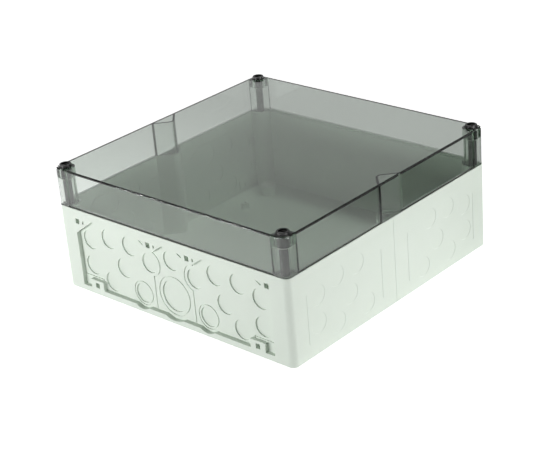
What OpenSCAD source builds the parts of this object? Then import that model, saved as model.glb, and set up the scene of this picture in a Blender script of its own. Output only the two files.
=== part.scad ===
// Square polystyrene enclosure with a deep smoked lid and knock-out cable entries.
// Millimetres. The origin is the centre of the underside, +Z is up and -Y is the front wall.

/* [Box] */
// Outer side of the square box
box_side = 300; // [290:5:340]
// Height of the base, from its underside to its rim
base_h = 90; // [86:1:120]
// Height of the lid above the rim of the base
lid_h = 39.5; // [32:0.5:60]
// Radius of the upright corners
corner_r = 6.5; // [4:0.5:10]
// Radius of the bottom edge of the base and the top edge of the lid
edge_r = 1.6; // [0.6:0.2:2.2]

/* [Walls] */
// Thickness of the base floor
floor_t = 3; // [2:0.5:5]
// Thickness of the lid walls
lid_t = 2.2; // [1.8:0.1:2.8]
// Thickness of the lid top
lid_top_t = 2.6; // [2:0.2:4]
// Step of the lid inside the outer faces of the base
lid_inset = 0.4; // [0.2:0.1:1]
// Thickness of the low tongue that stands on the rim behind the gasket
tongue_t = 3; // [2.6:0.1:3.4]
// Height of the tongue above the rim
tongue_h = 1.4; // [0.8:0.1:1.5]
// Clearance between the lid's columns and the tongue
fit = 0.35; // [0.3:0.05:0.6]

/* [Gasket] */
// Height of the gasket strip between the rim and the lid walls
gasket_h = 1.8; // [1.6:0.1:3]
// Width of the gasket strip
gasket_w = 1; // [0.8:0.1:1.2]
// Step of the gasket inside the outer face of the lid
gasket_margin = 0.15; // [0.1:0.05:0.3]
// Depth of the gasket's groove under the columns
gasket_sink = 1.8; // [1.2:0.1:3]
// Clearance of the gasket in its groove and beside the tongue
gasket_clear = 0.1; // [0.1:0.05:0.2]

/* [Corner columns and side columns] */
// Side of a corner column, from the outer face of the lid to the sealed space
column_side = 15.2; // [14.8:0.2:18]
// Radius of the column's inner edge
column_r = 6.4; // [5:0.2:7]
// Depth of the solid block at the top of a column
block_h = 11; // [8:0.5:14]
// Half of the width of a V-shaped side column at the outer face
vee_half_w = 16.4; // [14:0.2:20]
// Depth of a side column
vee_depth = 13.9; // [12:0.1:16]
// Radius at the tip of the side column's V
vee_r = 4.2; // [3:0.2:6]
// Wall left around the hollows under the pillars of the base
core_wall = 2.8; // [2.2:0.2:3.4]

/* [Cable entry panels] */
// Depth of a front or back panel behind the outer face
panel_recess = 4; // [3:0.25:5]
// Thickness of a front or back panel
panel_t = 2.5; // [2.2:0.1:3.5]
// Distance from the box's side to the end of a panel
panel_margin = 22.5; // [20:0.5:26]
// Height of the panel's lower edge
panel_foot = 7; // [6:0.5:9]
// Distance from the rim down to the panel's upper edge
panel_drop = 9; // [8:0.5:9.5]
// Width of the break-out groove round a panel
groove_w = 1; // [0.6:0.1:1.4]
// Depth of the break-out grooves
groove_d = 0.9; // [0.4:0.1:1.2]
// Step from the panel down to a knock-out's web
web_step = 1.3; // [0.8:0.1:1.5]
// Step of the faint lines and knock-outs outside on the left and right walls
side_step = 0.25; // [0.2:0.05:0.6]
// Step of the lines and knock-outs inside on the left and right walls
inner_step = 0.6; // [0.3:0.1:1]
// Diameter of an M20 knock-out
knock_m20 = 20.4; // [20:0.1:21]
// Diameter of an M25 knock-out ring
knock_m25 = 25; // [24.6:0.1:25.8]
// Diameter of an M32 knock-out
knock_m32 = 32.5; // [32:0.1:33]
// Diameter of an M40 knock-out ring
knock_m40 = 40.4; // [39.6:0.1:41]
// Side of the square clip pockets
clip_side = 5.2; // [4.6:0.2:6.4]
// Depth of the square clip pockets
clip_depth = 5; // [3:0.5:5.5]

/* [Lid screws] */
// Distance from a screw's axis to the outer faces of the base
screw_inset = 8.9; // [8.6:0.1:9.6]
// Diameter of the upper tier of the head
head_d = 11.8; // [10:0.2:12.4]
// Diameter of the flange under the head
flange_d = 13.8; // [13:0.2:14.4]
// Thickness of the flange
flange_t = 2; // [1.4:0.2:3]
// Depth of the flange below the top of the lid
flange_sink = 1.4; // [0.6:0.2:2]
// Height of the head above the top of the lid
head_proud = 2.5; // [2:0.1:4]
// Diameter of the shank
shank_d = 7.8; // [6.6:0.2:8]
// Length of shank below the rim of the base
shank_grip = 22; // [14:1:30]
// Clearance round the shank and the flange
screw_clear = 0.35; // [0.3:0.05:0.5]
// Outer diameter of the retaining ring
ring_d = 10.8; // [9.6:0.2:11.4]
// Thickness of the retaining ring
ring_t = 1.2; // [1:0.1:2]
// Depth of the ring's groove in the shank
ring_bite = 0.7; // [0.4:0.1:1]

/* [Fixings] */
// Distance from a wall-fixing hole to the outer faces of the base
fixing_inset = 32; // [31:0.5:38]
// Diameter of a wall-fixing hole
fixing_d = 5.2; // [4.2:0.1:6]
// Outer diameter of a wall-fixing boss
boss_d = 16; // [15:0.5:18]
// Height of a wall-fixing boss above the floor
boss_h = 10; // [8:0.5:14]
// Diameter of the counterbore in a wall-fixing boss
bore_d = 10; // [9:0.2:11]
// Thickness of the cap of a fixing plug
plug_cap_t = 1.4; // [1:0.1:2]
// Length of a fixing plug inside its counterbore
plug_stem = 4; // [2:0.5:5]
// Spacing of the plate bosses from left to right
plate_pitch_x = 228; // [200:2:232]
// Spacing of the plate bosses from front to back
plate_pitch_y = 150; // [120:5:170]
// Outer diameter of a plate boss
plate_boss_d = 8; // [7:0.5:10]
// Height of a plate boss above the floor
plate_boss_h = 7; // [6:0.5:10]
// Diameter of the screw hole in a plate boss
plate_hole_d = 3.4; // [2.6:0.1:4]

/* [Hidden] */

$fn = 96;
// Overshoot of a cut beyond the face that it opens
cut = 1;
half = box_side / 2;
lid_half = half - lid_inset;
lid_r = corner_r - lid_inset;
lid_top = base_h + lid_h;
block_foot = lid_top - block_h;
// Insets from the lid's outer face to the gasket's inner face and the tongue's two faces
gasket_in = gasket_margin + gasket_w;
tongue_out = gasket_in + 2 * gasket_clear;
tongue_in = tongue_out + tongue_t;
// Inset from the base's outer face to its inner face on the left and right walls
side_wall_t = lid_inset + tongue_in;
front_wall_t = panel_recess + panel_t;
front_inner = half - front_wall_t;

// Side column: its round tip, and the slope of its two sides
vee_mid = vee_depth - vee_r;
vee_reach = norm([vee_half_w, vee_mid]);
vee_angle = acos(vee_r / vee_reach) - atan2(vee_mid, vee_half_w);
// Depth by which the straight sides run into the round tip, so that they cross it cleanly
vee_bite = 0.03;
// Step from the side column's outline to the hollow in the base below it
vee_step = 1.2;

// Entry panel: places measured from the panel's end, from the rim and from the underside
panel_half = half - panel_margin;
panel_top = base_h - panel_drop;
tab_x = 25.6;
tab_foot = base_h - 19.8;
tab_half = 3.1;
tab_flare = 1.42;
corner_foot = base_h - 25.6;
clip_z = base_h - 12.7;
end_clip_x = panel_half - 3.2;
lug_x = panel_half - 20.4;
lug_half = 9.1;
lug_top = 16.3;
lug_clip_z = 10.8;
notch_x = panel_half - 26.1;
notch_top = 17.6;
mark_near = 7;
mark_w = 6;
mark_h = 3.8;
mark_depth = 1;
seam_x = 25.9;
seam_arc_r = 13.9;

// Knock-outs of one half of a panel: the end group follows the panel's end
end_knocks = [
    [panel_half - 15.1, base_h - 31.1], [panel_half - 14.5, 30.8],
    [panel_half - 42.2, base_h - 23.7], [panel_half - 41.1, 19.4]];
mid_knocks = [[56.3, base_h - 23.6], [66.9, 40]];
inner_knock = [30, base_h - 34.4];
double_knock = [43.3, 19.8];
top_knock = [0, base_h - 23.7];
big_knock = [0, 28.8];
double_relief_r = 15.8;
big_relief_r = 24.9;

// Faint lines on the left and right walls
side_line_w = 0.7;
side_line_foot = 14.5;
side_line_top = base_h - 25;
side_line_near = vee_half_w + 4;

screw_xy = half - screw_inset;
screw_foot = base_h - shank_grip;
head_top = lid_top + head_proud;
flange_z = lid_top - flange_sink;
flange_top = flange_z + flange_t;
socket_d = head_d - 3.6;
socket_depth = 1;
slot_w = 1.8;
slot_depth = 1.1;
point_h = 3;
point_d = shank_d - 2.4;
bore_floor = screw_foot - 2;
ring_play = 0.3;
ring_top = block_foot - ring_play;
ring_foot = ring_top - ring_t;
ring_fit = 0.05;

fixing_xy = half - fixing_inset;
boss_top = floor_t + boss_h;
bore_foot = floor_t + 2;
plug_fit = 0.1;
plug_cap_d = boss_d - 2;
plug_dish_d = plug_cap_d - 5;
plug_dish_depth = 0.5;

polystyrene = "#e3e9e0";
smoked = [0.42, 0.48, 0.45, 0.5];
foam = "#2b302d";
nylon = "#1c1e1d";
ring_pale = "#c9ccc4";
plug_grey = "#cfd5cd";

// Puts its children at one corner of a square, turned to face outwards there
module at_corner(turn, reach) {
    rotate([0, 0, turn]) translate([reach, reach, 0]) children();
}

// Puts its children at all four corners of a square
module at_corners(reach) {
    for (turn = [0:90:270]) at_corner(turn, reach) children();
}

// Draws its children and their mirror image across the middle of the box
module both_sides() {
    children();
    mirror([1, 0, 0]) children();
}

// A square with round corners
module rounded_square(side, r) {
    square([side, side - 2 * r], center = true);
    square([side - 2 * r, side], center = true);
    for (x = [-1, 1], y = [-1, 1])
        translate([x, y] * (side / 2 - r)) circle(r);
}

// The sliver between a sharp edge and its rounding
module edge_profile(r) {
    difference() {
        translate([-cut, -cut]) square(r + cut);
        translate([r, r]) circle(r);
    }
}

// Rounds the edge round the underside of a block with round corners
module edge_cutter(side, r, edge) {
    for (turn = [0:90:270]) rotate([0, 0, turn]) {
        translate([0, -side / 2, 0]) rotate([90, 0, 90])
            linear_extrude(side - 2 * r, center = true) edge_profile(edge);
        translate([side / 2 - r, side / 2 - r, 0])
            rotate_extrude(angle = 90) translate([r, 0]) mirror([1, 0]) edge_profile(edge);
    }
}

// The V of the side column on the right wall, grown outwards by an even amount
module vee_outline(grow) {
    r = vee_r + grow;
    mouth = (r + vee_mid * sin(vee_angle)) / cos(vee_angle);
    touch = (r - vee_bite) * [sin(vee_angle), cos(vee_angle)] + [vee_mid, 0];
    over = mouth + cut * tan(vee_angle);
    translate([lid_half, 0]) mirror([1, 0]) {
        polygon([[-cut, -over], [touch[0], -touch[1]], touch, [-cut, over]]);
        translate([vee_mid, 0]) circle(r);
    }
}

// The corner columns and side columns, grown outwards by an even amount
module columns_outline(grow) {
    at_corners(lid_half) rounded_square(2 * (column_side + grow), column_r + grow);
    both_sides() vee_outline(grow);
}

// The square inside the lid's outer face, set in by an even amount
module lid_square(inset) {
    square(2 * (lid_half - inset), center = true);
}

// The sealed area, set in from the lid's outer face: it leaves out all columns
module sealed_area(inset) {
    difference() {
        lid_square(inset);
        columns_outline(inset);
    }
}

// A strip that follows the edge of the sealed area
module seal_strip(outer, inner) {
    difference() {
        sealed_area(outer);
        sealed_area(inner);
    }
}

// Upright plate shape on the front wall: children are drawn in X and Z, from depth to depth
module on_front(from, to) {
    translate([0, -half + to, 0]) rotate([90, 0, 0]) linear_extrude(to - from) children();
}

// Draws its children on the front wall and the back wall
module front_and_back() {
    for (turn = [0, 180]) rotate([0, 0, turn]) children();
}

// Draws its children on the right wall and the left wall
module right_and_left() {
    for (turn = [90, 270]) rotate([0, 0, turn]) children();
}

// A tab of the frame that comes down into the panel and holds a clip pocket
module tab_outline(grow) {
    side = tab_half + grow * norm([1, tab_flare]) - grow * tab_flare;
    rise = panel_top + cut - tab_foot + grow;
    translate([tab_x, tab_foot - grow])
        polygon([[-side, 0], [side, 0], [side + rise * tab_flare, rise], [-side - rise * tab_flare, rise]]);
}

// The sloping corner of the frame at the panel's upper end
module corner_outline(grow) {
    foot = corner_foot - grow * norm([1, tab_flare]) / tab_flare;
    rise = panel_top + cut - foot;
    translate([panel_half, foot])
        polygon([[0, 0], [cut, 0], [cut, rise], [-rise * tab_flare, rise]]);
}

// The recess in the frame, drawn smaller by an inset all round
module recess_outline(inset) {
    difference() {
        union() {
            translate([-panel_half + inset, panel_foot + inset])
                square([2 * (panel_half - inset), panel_top - panel_foot - 2 * inset]);
            translate(big_knock) circle(big_relief_r - inset);
            both_sides() translate(double_knock) circle(double_relief_r - inset);
        }
        both_sides() {
            tab_outline(inset);
            corner_outline(inset);
        }
    }
}

// The lug that stands on the recess's lower edge and holds a clip pocket
module lug_outline() {
    translate([lug_x - lug_half, panel_foot - cut]) square([2 * lug_half, lug_top - panel_foot + cut]);
}

// The break-out panel: the recess less the notches round the lugs
module panel_outline(inset) {
    difference() {
        recess_outline(inset);
        both_sides() translate([notch_x - inset, 0])
            square([panel_half - notch_x + inset + cut, notch_top + inset]);
    }
}

// The grooves that divide the panel into three, bent round the inner knock-outs
module seam_outline() {
    translate([seam_x - groove_w / 2, panel_foot])
        square([groove_w, inner_knock[1] - seam_arc_r - panel_foot + groove_w]);
    intersection() {
        ring_outline(inner_knock, 2 * seam_arc_r);
        translate([0, panel_foot]) square([seam_x + groove_w / 2, panel_top - panel_foot]);
    }
}

// A round groove with its middle on a given diameter
module ring_outline(centre, diameter) {
    translate(centre) difference() {
        circle(d = diameter + groove_w);
        circle(d = diameter - groove_w);
    }
}

// A square clip pocket
module clip_outline(x, z) {
    translate([x - clip_side / 2, z - clip_side / 2]) square(clip_side);
}

// A small three-cornered pocket beside a clip pocket, towards +X
module mark_outline(x) {
    translate([x + mark_near, clip_z + mark_h / 2])
        polygon([[0, 0], [0, -mark_h], [mark_w, 0]]);
}

// All clip pockets and marks of one half of a front panel
module clip_pockets() {
    on_front(-cut, clip_depth) {
        clip_outline(end_clip_x, clip_z);
        clip_outline(tab_x, clip_z);
        clip_outline(lug_x, lug_clip_z);
    }
    on_front(-cut, mark_depth) {
        mark_outline(tab_x);
        translate([2 * tab_x, 0]) mirror([1, 0]) mark_outline(tab_x);
        translate([2 * end_clip_x, 0]) mirror([1, 0]) mark_outline(end_clip_x);
    }
}

// The webs of one half of a panel, stepped down from the panel's face
module knock_webs(from, step) {
    on_front(from, from + step) {
        for (place = concat(end_knocks, mid_knocks, [double_knock]))
            translate(place) circle(d = knock_m20);
    }
}

// A recessed front panel with its knock-outs, grooves and clip pockets, as a cutter
module entry_panel() {
    on_front(-cut, panel_recess) difference() {
        recess_outline(0);
        both_sides() lug_outline();
    }
    on_front(panel_recess - cut, panel_recess + groove_d) {
        difference() {
            panel_outline(0);
            panel_outline(groove_w);
        }
        both_sides() seam_outline();
        both_sides() ring_outline(double_knock, knock_m25);
        ring_outline(big_knock, knock_m40);
    }
    on_front(panel_recess - cut, panel_recess + web_step) {
        translate(top_knock) circle(d = knock_m20);
        translate(big_knock) circle(d = knock_m32);
        both_sides() translate(inner_knock) circle(d = knock_m20);
    }
    both_sides() {
        knock_webs(panel_recess, web_step);
        clip_pockets();
    }
}

// Faint lines and knock-outs on a side wall, outside and inside, as a cutter
module side_panel() {
    on_front(-cut, side_step) {
        translate([-side_line_w / 2, -cut]) square([side_line_w, base_h + 2 * cut]);
        for (x = [-panel_half, -side_line_near, side_line_near, panel_half])
            translate([x - side_line_w / 2, side_line_foot])
                square([side_line_w, side_line_top - side_line_foot]);
    }
    on_front(side_wall_t - inner_step, side_wall_t + cut) difference() {
        panel_outline(0);
        panel_outline(groove_w);
        translate([-side_line_near, 0]) square([2 * side_line_near, base_h]);
    }
    both_sides() {
        knock_webs(0, side_step);
        knock_webs(side_wall_t - inner_step, inner_step + cut);
        on_front(side_wall_t - inner_step, side_wall_t + cut) clip_outline(lug_x, lug_clip_z);
    }
}

// The outer block of the base, with its lower edge rounded
module base_block() {
    difference() {
        linear_extrude(base_h) rounded_square(box_side, corner_r);
        edge_cutter(box_side, corner_r, edge_r);
    }
}

// The space inside the base
module base_space() {
    translate([0, 0, floor_t]) linear_extrude(base_h + tongue_h) intersection() {
        sealed_area(tongue_in);
        square([box_side, 2 * front_inner], center = true);
    }
}

// The hollows under the four corner pillars, open below
module pillar_cores() {
    grow = tongue_in - core_wall;
    translate([0, 0, -cut]) linear_extrude(bore_floor - core_wall + cut) intersection() {
        at_corners(lid_half) rounded_square(2 * (column_side + grow), column_r + grow);
        square(2 * (half - core_wall), center = true);
    }
}

// The hollow in a side column of the base, open above
module vee_core() {
    translate([0, 0, floor_t]) linear_extrude(base_h) intersection() {
        vee_outline(-vee_step);
        square([2 * (half - side_wall_t), box_side], center = true);
    }
}

// The low tongue on the rim, which keeps clear of the lid's columns
module rim_tongue() {
    translate([0, 0, base_h - cut]) linear_extrude(tongue_h + cut) difference() {
        lid_square(tongue_out);
        columns_outline(lid_t + fit);
        sealed_area(tongue_in);
    }
}

// The groove under the columns that takes the sunk part of the gasket
module gasket_groove() {
    translate([0, 0, base_h - gasket_sink - gasket_clear])
        linear_extrude(gasket_sink + cut) intersection() {
            seal_strip(gasket_margin - gasket_clear, gasket_in + gasket_clear);
            lid_square(tongue_out - gasket_clear);
        }
}

// Puts its children at the four bosses for a mounting plate
module at_plate_bosses() {
    for (x = [-1, 1], y = [-1, 1])
        translate([x * plate_pitch_x / 2, y * plate_pitch_y / 2, 0]) children();
}

module base() {
    color(polystyrene) difference() {
        union() {
            difference() {
                base_block();
                base_space();
            }
            rim_tongue();
            at_corners(fixing_xy) cylinder(h = boss_top, d = boss_d);
            at_plate_bosses() cylinder(h = floor_t + plate_boss_h, d = plate_boss_d);
        }
        at_corners(screw_xy) translate([0, 0, bore_floor])
            cylinder(h = base_h, d = shank_d + 2 * screw_clear);
        pillar_cores();
        both_sides() vee_core();
        gasket_groove();
        at_corners(fixing_xy) {
            translate([0, 0, -cut]) cylinder(h = boss_top, d = fixing_d);
            translate([0, 0, bore_foot]) cylinder(h = boss_top, d = bore_d);
        }
        at_plate_bosses() translate([0, 0, floor_t])
            cylinder(h = plate_boss_h + cut, d = plate_hole_d);
        front_and_back() entry_panel();
        right_and_left() side_panel();
    }
}

// The lid's outer wall and the inner walls of its columns
module lid_walls() {
    translate([0, 0, base_h]) linear_extrude(lid_h) {
        difference() {
            rounded_square(2 * lid_half, lid_r);
            rounded_square(2 * (lid_half - lid_t), lid_r - lid_t);
        }
        seal_strip(0, lid_t);
    }
}

// The gap under the outer wall between the columns, where the gasket shows
module seam_gap() {
    translate([0, 0, base_h - cut]) linear_extrude(gasket_h + cut) difference() {
        lid_square(-cut);
        columns_outline(0);
        lid_square(lid_t + fit);
    }
}

// The solid blocks at the top of the four corner columns
module lid_blocks() {
    translate([0, 0, block_foot]) linear_extrude(block_h) intersection() {
        rounded_square(2 * lid_half, lid_r);
        at_corners(lid_half) rounded_square(2 * column_side + lid_t, column_r + lid_t / 2);
    }
}

module lid() {
    color(smoked) difference() {
        union() {
            translate([0, 0, lid_top - lid_top_t])
                linear_extrude(lid_top_t) rounded_square(2 * lid_half, lid_r);
            lid_walls();
            lid_blocks();
        }
        seam_gap();
        translate([0, 0, lid_top]) mirror([0, 0, 1]) edge_cutter(2 * lid_half, lid_r, edge_r);
        at_corners(screw_xy) {
            translate([0, 0, base_h]) cylinder(h = lid_h + cut, d = shank_d + 2 * screw_clear);
            translate([0, 0, flange_z]) cylinder(h = lid_h, d = flange_d + 2 * screw_clear);
        }
    }
}

// A strip on the rim between the columns, joined to a sunk strip under the columns
module lid_gasket() {
    color(foam) {
        translate([0, 0, base_h]) linear_extrude(gasket_h) difference() {
            seal_strip(gasket_margin, gasket_in);
            lid_square(lid_t);
        }
        translate([0, 0, base_h - gasket_sink]) linear_extrude(gasket_sink) intersection() {
            seal_strip(gasket_margin, gasket_in);
            lid_square(tongue_out);
        }
    }
}

module lid_screw(turn) {
    color(nylon) at_corner(turn, screw_xy) difference() {
        union() {
            translate([0, 0, flange_top]) cylinder(h = head_top - flange_top, d = head_d);
            translate([0, 0, flange_z]) cylinder(h = flange_t, d = flange_d);
            translate([0, 0, screw_foot + point_h]) cylinder(h = flange_z - screw_foot - point_h, d = shank_d);
            translate([0, 0, screw_foot]) cylinder(h = point_h, d1 = point_d, d2 = shank_d);
        }
        translate([0, 0, head_top - socket_depth]) cylinder(h = head_top, d = socket_d);
        translate([0, 0, head_top - socket_depth - slot_depth / 2])
            cube([socket_d, slot_w, slot_depth], center = true);
        translate([0, 0, ring_foot]) difference() {
            cylinder(h = ring_t, d = shank_d + cut);
            cylinder(h = ring_t, d = shank_d - 2 * ring_bite);
        }
    }
}

module retaining_ring(turn) {
    color(ring_pale) at_corner(turn, screw_xy) translate([0, 0, ring_foot]) difference() {
        cylinder(h = ring_t, d = ring_d);
        translate([0, 0, -cut])
            cylinder(h = ring_t + 2 * cut, d = shank_d - 2 * ring_bite + 2 * ring_fit);
    }
}

module fixing_plug(turn) {
    color(plug_grey) at_corner(turn, fixing_xy) difference() {
        union() {
            translate([0, 0, boss_top]) cylinder(h = plug_cap_t, d = plug_cap_d);
            translate([0, 0, boss_top - plug_stem])
                cylinder(h = plug_stem, d = bore_d - 2 * plug_fit);
        }
        translate([0, 0, boss_top + plug_cap_t - plug_dish_depth])
            cylinder(h = cut, d = plug_dish_d);
    }
}

base();
lid();
lid_gasket();
lid_screw(180);  // lid_screw_front_left
lid_screw(270);  // lid_screw_front_right
lid_screw(0);  // lid_screw_back_right
lid_screw(90);  // lid_screw_back_left
retaining_ring(180);  // retaining_ring_front_left
retaining_ring(270);  // retaining_ring_front_right
retaining_ring(0);  // retaining_ring_back_right
retaining_ring(90);  // retaining_ring_back_left
fixing_plug(180);  // fixing_plug_front_left
fixing_plug(270);  // fixing_plug_front_right
fixing_plug(0);  // fixing_plug_back_right
fixing_plug(90);  // fixing_plug_back_left
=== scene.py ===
import math

import bmesh
import bpy
from mathutils import Matrix, Vector


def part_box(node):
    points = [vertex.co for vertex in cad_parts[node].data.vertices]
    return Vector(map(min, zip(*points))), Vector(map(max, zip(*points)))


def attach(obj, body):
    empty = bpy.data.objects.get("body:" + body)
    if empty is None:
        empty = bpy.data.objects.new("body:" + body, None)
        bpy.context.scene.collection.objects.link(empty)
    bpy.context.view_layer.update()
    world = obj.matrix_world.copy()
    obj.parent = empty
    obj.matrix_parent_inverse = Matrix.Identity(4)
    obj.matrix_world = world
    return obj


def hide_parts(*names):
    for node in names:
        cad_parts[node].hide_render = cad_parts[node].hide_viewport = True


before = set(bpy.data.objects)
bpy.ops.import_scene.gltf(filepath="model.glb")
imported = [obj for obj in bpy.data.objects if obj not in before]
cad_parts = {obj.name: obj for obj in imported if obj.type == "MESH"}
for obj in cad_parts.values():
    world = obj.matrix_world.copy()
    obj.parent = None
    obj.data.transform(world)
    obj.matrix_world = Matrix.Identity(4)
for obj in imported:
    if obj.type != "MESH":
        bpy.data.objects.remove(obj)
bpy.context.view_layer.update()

# The base is one near-white polystyrene moulding: floor, walls, pillars and knock-out entry panels.
# It is injection moulded in a spark-eroded tool, so its skin is an even matt with slightly soft edges
# and a very fine grain, which is drawn coarser than it is so that it shows.
MM = 0.001
BASE_PALE = "#e3ece2"
BASE_DEEP = "#dde7dc"
BASE_CLOUD = 28 * MM
BASE_CLOUD_DETAIL = 3
BASE_ROUGHNESS = (0.42, 0.54)
BASE_IOR = 1.59
BASE_GRAIN = 0.6 * MM
BASE_GRAIN_DEPTH = 0.02 * MM
BASE_GRAIN_STRENGTH = 0.35
BASE_EDGE = 0.12 * MM


def linear(hex_colour):
    """Turns an sRGB hex colour to the linear red, green, blue and alpha that a shader takes."""
    parts = [int(hex_colour[i:i + 2], 16) / 255 for i in (1, 3, 5)]
    return [p / 12.92 if p <= 0.04045 else ((p + 0.055) / 1.055) ** 2.4 for p in parts] + [1]


def add_node(tree, kind, settings, inputs):
    """Adds a node: settings are its own properties, and inputs are values or sockets to link."""
    node = tree.nodes.new("ShaderNode" + kind)
    for name, value in settings.items():
        setattr(node, name, value)
    for name, value in inputs.items():
        if isinstance(value, bpy.types.NodeSocket):
            tree.links.new(value, node.inputs[name])
        else:
            node.inputs[name].default_value = value
    return node


def new_material(name):
    """An empty node material and its tree."""
    material = bpy.data.materials.new(name)
    material.use_nodes = True
    material.node_tree.nodes.clear()
    return material, material.node_tree


# Sockets of the Mix node for colours
COLOUR_A, COLOUR_B, COLOUR_OUT = 6, 7, 2

moulded_polystyrene, tree = new_material("moulded_polystyrene")
place = add_node(tree, "TexCoord", {}, {}).outputs["Object"]
cloud = add_node(tree, "TexNoise", {}, {
    "Vector": place, "Scale": 1 / BASE_CLOUD, "Detail": BASE_CLOUD_DETAIL}).outputs["Fac"]
tone = add_node(tree, "Mix", {"data_type": "RGBA"}, {
    "Factor": cloud, COLOUR_A: linear(BASE_DEEP), COLOUR_B: linear(BASE_PALE)}).outputs[COLOUR_OUT]
sheen = add_node(tree, "MapRange", {}, {
    "Value": cloud, "To Min": BASE_ROUGHNESS[0], "To Max": BASE_ROUGHNESS[1]}).outputs["Result"]
grain = add_node(tree, "TexNoise", {}, {"Vector": place, "Scale": 1 / BASE_GRAIN}).outputs["Fac"]
soft_edge = add_node(tree, "Bevel", {}, {"Radius": BASE_EDGE}).outputs["Normal"]
skin = add_node(tree, "Bump", {}, {
    "Height": grain, "Strength": BASE_GRAIN_STRENGTH, "Distance": BASE_GRAIN_DEPTH,
    "Normal": soft_edge}).outputs["Normal"]
surface = add_node(tree, "BsdfPrincipled", {}, {
    "Base Color": tone, "Roughness": sheen, "IOR": BASE_IOR, "Normal": skin}).outputs["BSDF"]
add_node(tree, "OutputMaterial", {}, {"Surface": surface})
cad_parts["base"].material_slots[0].material = moulded_polystyrene

# Each fixing plug is a small polyethylene cap that closes the counterbore over a wall screw.
# It is moulded with a thin dished cap and a stem, waxy and a little greyer than the base, and pushed in.
CORNERS = ["front_left", "front_right", "back_right", "back_left"]
PLUG_COLOUR = "#d3d9cf"
PLUG_STEM = 4 * MM
PLUG_CAP = 1.4 * MM
PLUG_STEM_R = 4.9 * MM
PLUG_DISH_R = 4.5 * MM
PLUG_DISH = 0.5 * MM
PLUG_ROUND = 0.3 * MM
PLUG_CLOUD = 6 * MM
PLUG_ROUGHNESS = (0.3, 0.45)
PLUG_IOR = 1.51
TURN_STEPS = 64
ROUND_STEPS = 3
SHARP_ANGLE = math.radians(30)
WELD = 0.0001 * MM
CUT_SNAP = 0.00001 * MM


def top_faces(mesh, top):
    """The faces that lie flat at the height of the top."""
    return [f for f in mesh.faces if all(abs(v.co.z - top) < WELD for v in f.verts)]


def turned(profile, round_r, slot_w=0, slot_depth=0):
    """A solid turned about Z from (radius, height) points that start and end on the axis, with soft edges.

    The last point is the middle of the top, and a slot of the given width and depth may cross it there."""
    mesh = bmesh.new()
    points = [mesh.verts.new((r, 0, z)) for r, z in profile]
    line = [mesh.edges.new(pair) for pair in zip(points, points[1:])]
    bmesh.ops.spin(mesh, geom=points + line, cent=(0, 0, 0), axis=(0, 0, 1), angle=math.tau,
                   steps=TURN_STEPS, use_merge=True)
    bmesh.ops.remove_doubles(mesh, verts=mesh.verts, dist=WELD)
    bmesh.ops.recalc_face_normals(mesh, faces=mesh.faces)
    top = profile[-1][1]
    if slot_w:
        for side in (-1, 1):
            cut = dict.fromkeys(part for f in top_faces(mesh, top) for part in [f, *f.edges, *f.verts])
            bmesh.ops.bisect_plane(mesh, geom=list(cut), dist=CUT_SNAP,
                                   plane_co=(0, side * slot_w / 2, 0), plane_no=(0, 1, 0))
        slot = [f for f in top_faces(mesh, top) if abs(f.calc_center_median().y) < slot_w / 2]
        sunk = bmesh.ops.extrude_face_region(mesh, geom=slot)["geom"]
        bmesh.ops.delete(mesh, geom=slot, context="FACES")
        low = [part for part in sunk if isinstance(part, bmesh.types.BMVert)]
        bmesh.ops.translate(mesh, verts=low, vec=(0, 0, -slot_depth))
        bmesh.ops.recalc_face_normals(mesh, faces=mesh.faces)
    sharp = [e for e in mesh.edges if len(e.link_faces) == 2 and e.calc_face_angle() > SHARP_ANGLE]
    bmesh.ops.bevel(mesh, geom=sharp, offset=round_r, offset_type="OFFSET", affect="EDGES",
                    segments=ROUND_STEPS, profile=0.5, material=-1, clamp_overlap=True)
    return mesh


def as_piece(name, mesh, node, body, material):
    """Puts a finished mesh where its CAD node is, rides it on its body and lets it stand for the node."""
    low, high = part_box(node)
    bmesh.ops.translate(mesh, verts=mesh.verts, vec=((low.x + high.x) / 2, (low.y + high.y) / 2, 0))
    data = bpy.data.meshes.new(name)
    mesh.to_mesh(data)
    mesh.free()
    data.materials.append(material)
    data.shade_smooth()
    data.set_sharp_from_angle(angle=SHARP_ANGLE)
    piece = bpy.data.objects.new(name, data)
    bpy.context.scene.collection.objects.link(piece)
    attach(piece, body)
    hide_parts(node)


waxy_polyethylene, tree = new_material("waxy_polyethylene")
place = add_node(tree, "TexCoord", {}, {}).outputs["Object"]
cloud = add_node(tree, "TexNoise", {}, {"Vector": place, "Scale": 1 / PLUG_CLOUD}).outputs["Fac"]
sheen = add_node(tree, "MapRange", {}, {
    "Value": cloud, "To Min": PLUG_ROUGHNESS[0], "To Max": PLUG_ROUGHNESS[1]}).outputs["Result"]
surface = add_node(tree, "BsdfPrincipled", {}, {
    "Base Color": linear(PLUG_COLOUR), "Roughness": sheen, "IOR": PLUG_IOR}).outputs["BSDF"]
add_node(tree, "OutputMaterial", {}, {"Surface": surface})

for corner in CORNERS:
    node = "fixing_plug_" + corner
    low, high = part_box(node)
    cap_r = (high.x - low.x) / 2
    seat = high.z - PLUG_CAP
    foot = seat - PLUG_STEM
    dish = high.z - PLUG_DISH
    plug = turned([
        (0, foot), (PLUG_STEM_R, foot), (PLUG_STEM_R, seat), (cap_r, seat),
        (cap_r, high.z), (PLUG_DISH_R, high.z), (PLUG_DISH_R, dish), (0, dish)], PLUG_ROUND)
    as_piece("fixing_cap_" + corner, plug, node, "base", waxy_polyethylene)

# The gasket is a foamed polyurethane cord in the joint between the rim and the lid walls.
# It is dosed into the lid as a liquid and sets there, dark and dull with a closed-cell skin.
# The fine cells are drawn coarser than they are so that they show.
GASKET_COLOUR = "#20261f"
GASKET_CELL = 0.8 * MM
GASKET_CELL_DEPTH = 0.1 * MM
GASKET_CELL_STRENGTH = 0.4
GASKET_ROUGHNESS = 0.75
GASKET_IOR = 1.5

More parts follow.
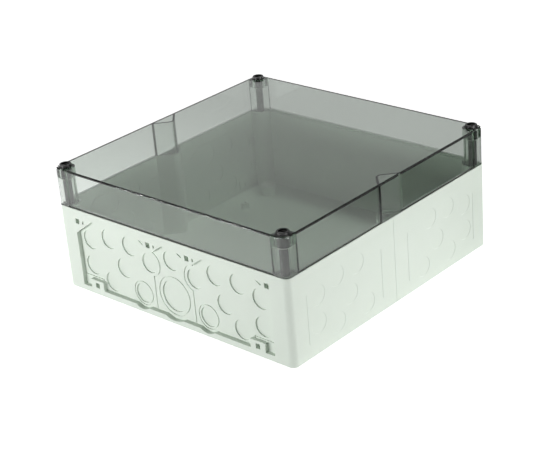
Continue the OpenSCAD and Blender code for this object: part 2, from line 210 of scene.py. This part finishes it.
foamed_polyurethane, tree = new_material("foamed_polyurethane")
place = add_node(tree, "TexCoord", {}, {}).outputs["Object"]
cells = add_node(tree, "TexVoronoi", {}, {"Vector": place, "Scale": 1 / GASKET_CELL}).outputs["Distance"]
skin = add_node(tree, "Bump", {}, {
    "Height": cells, "Strength": GASKET_CELL_STRENGTH, "Distance": GASKET_CELL_DEPTH}).outputs["Normal"]
surface = add_node(tree, "BsdfPrincipled", {}, {
    "Base Color": linear(GASKET_COLOUR), "Roughness": GASKET_ROUGHNESS, "IOR": GASKET_IOR,
    "Normal": skin}).outputs["BSDF"]
add_node(tree, "OutputMaterial", {}, {"Surface": surface})
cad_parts["lid_gasket"].material_slots[0].material = foamed_polyurethane

# The lid is one deep moulding of smoked transparent polystyrene, polished in the tool to a high gloss.
# The dye is grey-green all through, so a wall looks darker where the eye looks along it, and the edges
# and the thick column heads look darkest. Lamps shine through it on to the inside of the base.
LID_CLEAR = "#ffffff"
LID_DYE = "#81a689"
LID_DYE_DENSITY = 100
LID_SHADE = "#d8dcd9"
LID_RIPPLE = 45 * MM
LID_RIPPLE_DETAIL = 1
LID_ROUGHNESS = (0, 0.05)
LID_IOR = 1.57

smoked_polystyrene, tree = new_material("smoked_polystyrene")
place = add_node(tree, "TexCoord", {}, {}).outputs["Object"]
flow = add_node(tree, "TexNoise", {}, {
    "Vector": place, "Scale": 1 / LID_RIPPLE, "Detail": LID_RIPPLE_DETAIL}).outputs["Fac"]
gloss = add_node(tree, "MapRange", {}, {
    "Value": flow, "To Min": LID_ROUGHNESS[0], "To Max": LID_ROUGHNESS[1]}).outputs["Result"]
clear = add_node(tree, "BsdfPrincipled", {}, {
    "Base Color": linear(LID_CLEAR), "Roughness": gloss, "IOR": LID_IOR,
    "Transmission Weight": 1}).outputs["BSDF"]
open_to_lamps = add_node(tree, "BsdfTransparent", {}, {"Color": linear(LID_SHADE)}).outputs["BSDF"]
path = add_node(tree, "LightPath", {}, {})
lit = add_node(tree, "Math", {"operation": "MAXIMUM"}, {
    0: path.outputs["Is Shadow Ray"], 1: path.outputs["Is Diffuse Ray"]}).outputs["Value"]
surface = add_node(tree, "MixShader", {}, {"Fac": lit, 1: clear, 2: open_to_lamps}).outputs["Shader"]
dye = add_node(tree, "VolumeAbsorption", {}, {
    "Color": linear(LID_DYE), "Density": LID_DYE_DENSITY}).outputs["Volume"]
add_node(tree, "OutputMaterial", {}, {"Surface": surface, "Volume": dye})
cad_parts["lid"].material_slots[0].material = smoked_polystyrene

# Four retaining rings snap into grooves of the screws and keep them in the lid when it is off.
# They are natural nylon, moulded, pale and satin, and sit just under the solid column heads.
RING_COLOUR = "#c4c8bf"
RING_CLOUD = 6 * MM
RING_ROUGHNESS = (0.35, 0.5)
NYLON_IOR = 1.53

ring_nylon, tree = new_material("ring_nylon")
place = add_node(tree, "TexCoord", {}, {}).outputs["Object"]
cloud = add_node(tree, "TexNoise", {}, {"Vector": place, "Scale": 1 / RING_CLOUD}).outputs["Fac"]
sheen = add_node(tree, "MapRange", {}, {
    "Value": cloud, "To Min": RING_ROUGHNESS[0], "To Max": RING_ROUGHNESS[1]}).outputs["Result"]
surface = add_node(tree, "BsdfPrincipled", {}, {
    "Base Color": linear(RING_COLOUR), "Roughness": sheen, "IOR": NYLON_IOR}).outputs["BSDF"]
add_node(tree, "OutputMaterial", {}, {"Surface": surface})
for corner in CORNERS:
    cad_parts["retaining_ring_" + corner].material_slots[0].material = ring_nylon

# The lid screws are black glass-filled nylon: a long shank and a two-tier head with a slotted round socket.
# A quarter turn locks each one in its pillar. The moulded skin is satin and catches the light on its rims,
# and its fine grain is drawn coarser than it is so that it shows.
SCREW_COLOUR = "#0b0c0b"
HEAD_R = 5.9 * MM
HEAD_H = 1.9 * MM
FLANGE_R = 6.9 * MM
FLANGE_T = 2 * MM
SOCKET_R = 4.1 * MM
SOCKET_DEPTH = 1 * MM
SLOT_W = 1.8 * MM
SLOT_DEPTH = 1.1 * MM
SHANK_R = 3.9 * MM
POINT_R = 2.7 * MM
POINT_H = 3 * MM
GROOVE_R = 3.2 * MM
SCREW_ROUND = 0.28 * MM
SCREW_GRAIN = 0.7 * MM
SCREW_GRAIN_DETAIL = 3
SCREW_GRAIN_DEPTH = 0.03 * MM
SCREW_GRAIN_STRENGTH = 0.3
SCREW_ROUGHNESS = (0.2, 0.34)
SCREW_SPECULAR = 0.3

black_nylon, tree = new_material("black_nylon")
place = add_node(tree, "TexCoord", {}, {}).outputs["Object"]
grain = add_node(tree, "TexNoise", {}, {
    "Vector": place, "Scale": 1 / SCREW_GRAIN, "Detail": SCREW_GRAIN_DETAIL}).outputs["Fac"]
sheen = add_node(tree, "MapRange", {}, {
    "Value": grain, "To Min": SCREW_ROUGHNESS[0], "To Max": SCREW_ROUGHNESS[1]}).outputs["Result"]
skin = add_node(tree, "Bump", {}, {
    "Height": grain, "Strength": SCREW_GRAIN_STRENGTH, "Distance": SCREW_GRAIN_DEPTH}).outputs["Normal"]
surface = add_node(tree, "BsdfPrincipled", {}, {
    "Base Color": linear(SCREW_COLOUR), "Roughness": sheen, "IOR": NYLON_IOR,
    "Specular IOR Level": SCREW_SPECULAR, "Normal": skin}).outputs["BSDF"]
add_node(tree, "OutputMaterial", {}, {"Surface": surface})

for corner in CORNERS:
    node = "lid_screw_" + corner
    low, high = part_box(node)
    ring_low, ring_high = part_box("retaining_ring_" + corner)
    flange_top = high.z - HEAD_H
    neck = flange_top - FLANGE_T
    socket = high.z - SOCKET_DEPTH
    screw = turned([
        (0, low.z), (POINT_R, low.z), (SHANK_R, low.z + POINT_H), (SHANK_R, ring_low.z),
        (GROOVE_R, ring_low.z), (GROOVE_R, ring_high.z), (SHANK_R, ring_high.z), (SHANK_R, neck),
        (FLANGE_R, neck), (FLANGE_R, flange_top), (HEAD_R, flange_top), (HEAD_R, high.z),
        (SOCKET_R, high.z), (SOCKET_R, socket), (0, socket)], SCREW_ROUND, SLOT_W, SLOT_DEPTH)
    as_piece("quarter_turn_screw_" + corner, screw, node, "screw_" + corner, black_nylon)

# The studio has a white floor, which keeps the object's shadow, and a white backdrop that greys overhead.
# Low softboxes on all four sides light the walls, and one overhead lights the inside of the box.
# The floor glows with painted light where the lid mirrors or shows it, brightest in front, fading back.
FLOOR_SIDE = 8
FLOOR_DROP = 0.2 * MM
FLOOR_COLOUR = "#c0c1bf"
FLOOR_FILL = 0.98
MIRROR_FRONT = (-0.25, -0.05)
PAINTED_REFLECTION_FRONT = 1.75
MIRROR_FADE = (0.1, 0.2)
GLIMPSE_FADE = (0.03, 0.32)
PAINTED_GLIMPSE_LEVELS = (0.85, 0.45)
BACKDROP_WHITE = "#ffffff"
BACKDROP_GREY = "#6e706d"
BACKDROP_FADE = (0.14, 0.75)
ROOM_LIGHT = 0.12

scene = bpy.context.scene
scene.view_settings.view_transform = "Standard"

floor_with_painted_glow, tree = new_material("floor_with_painted_glow")
paper = add_node(tree, "BsdfDiffuse", {}, {"Color": linear(FLOOR_COLOUR)}).outputs["BSDF"]
path = add_node(tree, "LightPath", {}, {})
spot = add_node(tree, "TexCoord", {}, {}).outputs["Object"]
depth = add_node(tree, "SeparateXYZ", {}, {"Vector": spot}).outputs["Y"]
# Painted light: for rays the lid mirrors, the floor glows 1.75 in front, 1 in the middle and none at the
# back;
# seen through the lid it glows 0.85 in front, fading to 0.45 at the back.
painted_front_light = add_node(tree, "MapRange", {}, {
    "Value": depth, "From Min": MIRROR_FRONT[0], "From Max": MIRROR_FRONT[1],
    "To Min": PAINTED_REFLECTION_FRONT, "To Max": 1}).outputs["Result"]
painted_mirror_light = add_node(tree, "MapRange", {}, {
    "Value": depth, "From Min": MIRROR_FADE[0], "From Max": MIRROR_FADE[1],
    "To Min": painted_front_light, "To Max": 0}).outputs["Result"]
painted_glimpse_light = add_node(tree, "MapRange", {}, {
    "Value": depth, "From Min": GLIMPSE_FADE[0], "From Max": GLIMPSE_FADE[1],
    "To Min": PAINTED_GLIMPSE_LEVELS[0], "To Max": PAINTED_GLIMPSE_LEVELS[1]}).outputs["Result"]
# A ray that comes through the lid counts as glossy too, so those are taken off the mirrored ones
reflected = add_node(tree, "Math", {"operation": "SUBTRACT"}, {
    0: path.outputs["Is Glossy Ray"], 1: path.outputs["Is Transmission Ray"]}).outputs["Value"]
mirrored = add_node(tree, "Math", {"operation": "MULTIPLY"}, {0: reflected, 1: painted_mirror_light}).outputs["Value"]
painted_lid_light = add_node(tree, "Math", {"operation": "MULTIPLY_ADD"}, {
    0: path.outputs["Is Transmission Ray"], 1: painted_glimpse_light, 2: mirrored}).outputs["Value"]
fill_and_painted_light = add_node(tree, "Math", {"operation": "MULTIPLY_ADD"}, {
    0: path.outputs["Is Camera Ray"], 1: FLOOR_FILL, 2: painted_lid_light}).outputs["Value"]
# The emission holds the even white fill seen by the camera plus the painted reflection and glimpse light.
glow = add_node(tree, "Emission", {}, {"Strength": fill_and_painted_light}).outputs["Emission"]
surface = add_node(tree, "AddShader", {}, {0: paper, 1: glow}).outputs["Shader"]
add_node(tree, "OutputMaterial", {}, {"Surface": surface})

sheet = bmesh.new()
bmesh.ops.create_grid(sheet, x_segments=1, y_segments=1, size=FLOOR_SIDE / 2)
bmesh.ops.translate(sheet, verts=sheet.verts, vec=(0, 0, -FLOOR_DROP))
floor_mesh = bpy.data.meshes.new("studio_floor")
sheet.to_mesh(floor_mesh)
sheet.free()
floor_mesh.materials.append(floor_with_painted_glow)
floor = bpy.data.objects.new("studio_floor", floor_mesh)
scene.collection.objects.link(floor)

scene.world = bpy.data.worlds.new("studio")
scene.world.use_nodes = True
tree = scene.world.node_tree
tree.nodes.clear()
ray = add_node(tree, "TexCoord", {}, {}).outputs["Generated"]
climb = add_node(tree, "SeparateXYZ", {}, {"Vector": ray}).outputs["Z"]
fade = add_node(tree, "MapRange", {}, {
    "Value": climb, "From Min": BACKDROP_FADE[0], "From Max": BACKDROP_FADE[1]}).outputs["Result"]
shade = add_node(tree, "Mix", {"data_type": "RGBA"}, {
    "Factor": fade, COLOUR_A: linear(BACKDROP_WHITE), COLOUR_B: linear(BACKDROP_GREY)}).outputs[COLOUR_OUT]
backdrop = add_node(tree, "Background", {}, {"Color": shade}).outputs["Background"]
room = add_node(tree, "Background", {}, {"Color": shade, "Strength": ROOM_LIGHT}).outputs["Background"]
path = add_node(tree, "LightPath", {}, {})
glimpse = add_node(tree, "Math", {"operation": "MAXIMUM"}, {
    0: path.outputs["Is Glossy Ray"], 1: path.outputs["Is Transmission Ray"]}).outputs["Value"]
seen = add_node(tree, "Math", {"operation": "MAXIMUM"}, {
    0: path.outputs["Is Camera Ray"], 1: glimpse}).outputs["Value"]
surface = add_node(tree, "MixShader", {}, {"Fac": seen, 1: room, 2: backdrop}).outputs["Shader"]
add_node(tree, "OutputWorld", {}, {"Surface": surface})


def softbox(name, place, target, width, height, power, spread=180):
    """A plain white area lamp that faces its target; a grid can narrow its spread, in degrees."""
    lamp = bpy.data.lights.new(name, "AREA")
    lamp.shape = "RECTANGLE"
    lamp.size = width
    lamp.size_y = height
    lamp.energy = power
    lamp.spread = math.radians(spread)
    holder = bpy.data.objects.new(name, lamp)
    scene.collection.objects.link(holder)
    holder.visible_camera = False
    holder.visible_transmission = False
    holder.location = place
    holder.rotation_mode = "QUATERNION"
    holder.rotation_quaternion = (Vector(target) - Vector(place)).to_track_quat("-Z", "Y")


softbox("top_softbox", place=(0.4, 0.4, 1.2), target=(-0.03, -0.03, 0),
        width=0.3, height=0.3, power=0.29, spread=30)
softbox("front_softbox", place=(-0.45, -1.2, 0.11), target=(0, -0.15, 0.05),
        width=1.0, height=0.16, power=10.9)
softbox("right_softbox", place=(1.2, 0.1, 0.11), target=(0.15, 0.02, 0.06),
        width=0.9, height=0.16, power=8)
softbox("left_softbox", place=(-1.2, 0.05, 0.045), target=(-0.15, 0, 0.045),
        width=0.9, height=0.07, power=7)
softbox("back_softbox", place=(0.1, 1.2, 0.045), target=(0, 0.15, 0.045),
        width=0.9, height=0.07, power=7)

# The camera stands at the front right and looks down on the lid, as it did for the photograph.
# A long lens keeps the edges of the box nearly parallel, and a slight roll gives the picture's tilt.
AZIMUTH = math.radians(43.666)
ELEVATION = math.radians(25.238)
ROLL = math.radians(-5.008)
DISTANCE = 1.4957
AIM = Vector((0.001752, -0.010098, 0.048419))
SENSOR_MM = 36
FOCAL_MM = 100

back = Vector((
    math.sin(AZIMUTH) * math.cos(ELEVATION), -math.cos(AZIMUTH) * math.cos(ELEVATION), math.sin(ELEVATION)))
right = Vector((math.cos(AZIMUTH), math.sin(AZIMUTH), 0))
up = back.cross(right)
turned_right = math.cos(ROLL) * right + math.sin(ROLL) * up
turned_up = math.cos(ROLL) * up - math.sin(ROLL) * right
lens = bpy.data.cameras.new("photo_camera")
lens.sensor_width = SENSOR_MM
lens.lens = FOCAL_MM
camera = bpy.data.objects.new("photo_camera", lens)
scene.collection.objects.link(camera)
turn = Matrix((turned_right, turned_up, back)).transposed().to_4x4()
camera.matrix_world = Matrix.Translation(AIM + DISTANCE * back) @ turn
scene.camera = camera
